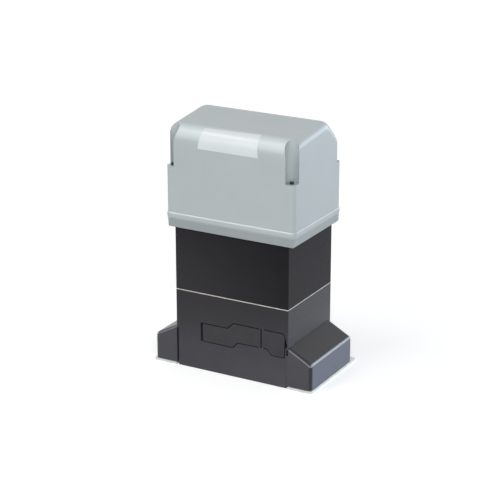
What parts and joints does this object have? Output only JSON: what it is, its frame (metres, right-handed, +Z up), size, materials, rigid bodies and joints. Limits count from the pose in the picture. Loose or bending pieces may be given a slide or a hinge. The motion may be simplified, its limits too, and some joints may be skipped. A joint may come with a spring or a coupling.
{
  "type": "sliding gate motor",
  "caption": "Oil bath sliding gate operator: stacked castings on a foundation plate, lift-off hood over the electronics, front release lever with key lock, pinion behind.",
  "frame": {"origin": "centre of the ground anchor holes, on the underside of the foundation plate", "axes": "+Z up, X along the gate, -Y is the front with the release lever, +Y is the gate side with the pinion"},
  "size_m": [0.2734, 0.1951, 0.392],
  "materials": {
    "plate": "zinc plated sheet",
    "fastener": "zinc plated",
    "casting": "dark satin paint",
    "joint_line": "bare machined edge",
    "release_plastic": "fine grain",
    "steel": "ground",
    "lock": "nickel plated",
    "rubber": "matt",
    "bare_aluminium": "as cast",
    "electrical_steel": "stacked sheets",
    "copper": "enamelled wire",
    "bronze": "cut teeth",
    "friction": "pressed lining",
    "black_plastic": "moulded",
    "board": "solder mask",
    "terminal": "moulded",
    "capacitor": "moulded can",
    "dark_fastener": "black oxide",
    "hood": "fine moulded grain",
    "foot_cover": "fine moulded grain"
  },
  "bodies": {
    "frame": {"foundation_plate": "plate", "anchor_studs": "fastener", "foot_washers": "fastener", "foot_nuts": "fastener", "levelling_screws": "fastener", "gear_case": "casting", "case_gasket": "joint_line", "lever_pin": "steel", "flap_pin": "steel", "lower_bearing": "steel", "middle_bearing": "steel", "upper_bearing": "steel", "shaft_seal": "rubber", "output_bearings": "steel", "output_seal": "rubber", "oil_plugs": "fastener", "motor_case": "casting", "case_bolts": "fastener", "end_shield": "bare_aluminium", "shield_screws": "fastener", "stator_core": "electrical_steel", "stator_windings": "copper", "limit_sensor": "black_plastic", "sensor_bracket": "steel", "sensor_screws": "fastener", "carrier_gasket": "rubber", "board_carrier": "black_plastic", "board_panel": "black_plastic", "carrier_screws": "fastener", "control_board": "board", "terminal_blocks": "terminal", "relays": "black_plastic", "board_screws": "fastener", "transformer_core": "electrical_steel", "transformer_coil": "copper", "run_capacitor": "capacitor", "cable_grommet": "rubber"},
    "rotor": {"worm_shaft": "steel", "rotor_core": "electrical_steel"},
    "output": {"output_shaft": "steel", "worm_wheel": "bronze", "clutch_discs": "friction", "disc_springs": "steel", "clutch_nut": "steel", "drive_key": "steel", "pinion": "steel", "pinion_washer": "fastener", "pinion_screw": "fastener"},
    "release_slide": {"release_rod": "steel", "release_fork": "steel"},
    "lever": {"release_lever": "release_plastic"},
    "flap": {"lock_flap": "release_plastic"},
    "lock": {"lock_barrel": "lock"},
    "hood": {"hood": "hood", "hood_screws": "dark_fastener"},
    "left_cover": {"left_foot_cover": "foot_cover"},
    "right_cover": {"right_foot_cover": "foot_cover"},
    "open_button": {"button_open": "black_plastic"},
    "close_button": {"button_close": "black_plastic"},
    "program_button": {"button_program": "black_plastic"}
  },
  "joints": [
    {"name": "rotor_spin", "type": "hinge", "parent": "frame", "child": "rotor", "pos_m": [0.0295, 0, 0.12], "axis": [0, 0, 1], "continuous": true},
    {"name": "output_spin", "type": "hinge", "parent": "frame", "child": "output", "pos_m": [-0.022, 0, 0.07], "axis": [0, 1, 0], "continuous": true},
    {"name": "lever_swing", "type": "hinge", "parent": "frame", "child": "lever", "pos_m": [0.0474, -0.0668, 0.07], "axis": [0, 0, 1], "range_deg": [0, 90]},
    {"name": "release_slide", "type": "slide", "parent": "frame", "child": "release_slide", "axis": [0, -1, 0], "range_m": [0, 0.0031]},
    {"name": "flap_swing", "type": "hinge", "parent": "frame", "child": "flap", "pos_m": [0.0534, -0.0682, 0.07], "axis": [0, 0, -1], "range_deg": [0, 90]},
    {"name": "lock_turn", "type": "hinge", "parent": "frame", "child": "lock", "pos_m": [0.072, -0.06, 0.0675], "axis": [0, 1, 0], "range_deg": [0, 90]},
    {"name": "hood_lift", "type": "slide", "parent": "frame", "child": "hood", "axis": [0, 0, 1], "range_m": [0, 0.2]},
    {"name": "left_cover_pull", "type": "slide", "parent": "frame", "child": "left_cover", "axis": [-1, 0, 0], "range_m": [0, 0.06]},
    {"name": "right_cover_pull", "type": "slide", "parent": "frame", "child": "right_cover", "axis": [1, 0, 0], "range_m": [0, 0.06]},
    {"name": "open_press", "type": "slide", "parent": "frame", "child": "open_button", "axis": [0, 1, 0], "range_m": [0, 0.0005], "stiffness_N_per_m": 300, "springref_m": -0.0005},
    {"name": "close_press", "type": "slide", "parent": "frame", "child": "close_button", "axis": [0, 1, 0], "range_m": [0, 0.0005], "stiffness_N_per_m": 300, "springref_m": -0.0005},
    {"name": "program_press", "type": "slide", "parent": "frame", "child": "program_button", "axis": [0, 1, 0], "range_m": [0, 0.0005], "stiffness_N_per_m": 300, "springref_m": -0.0005}
  ],
  "couplings": [
    {"joint": "output_spin", "follows": "rotor_spin", "ratio": 0.033333},
    {"joint": "release_slide", "follows": "lever_swing", "m_per_rad": 0.0019099}
  ]
}
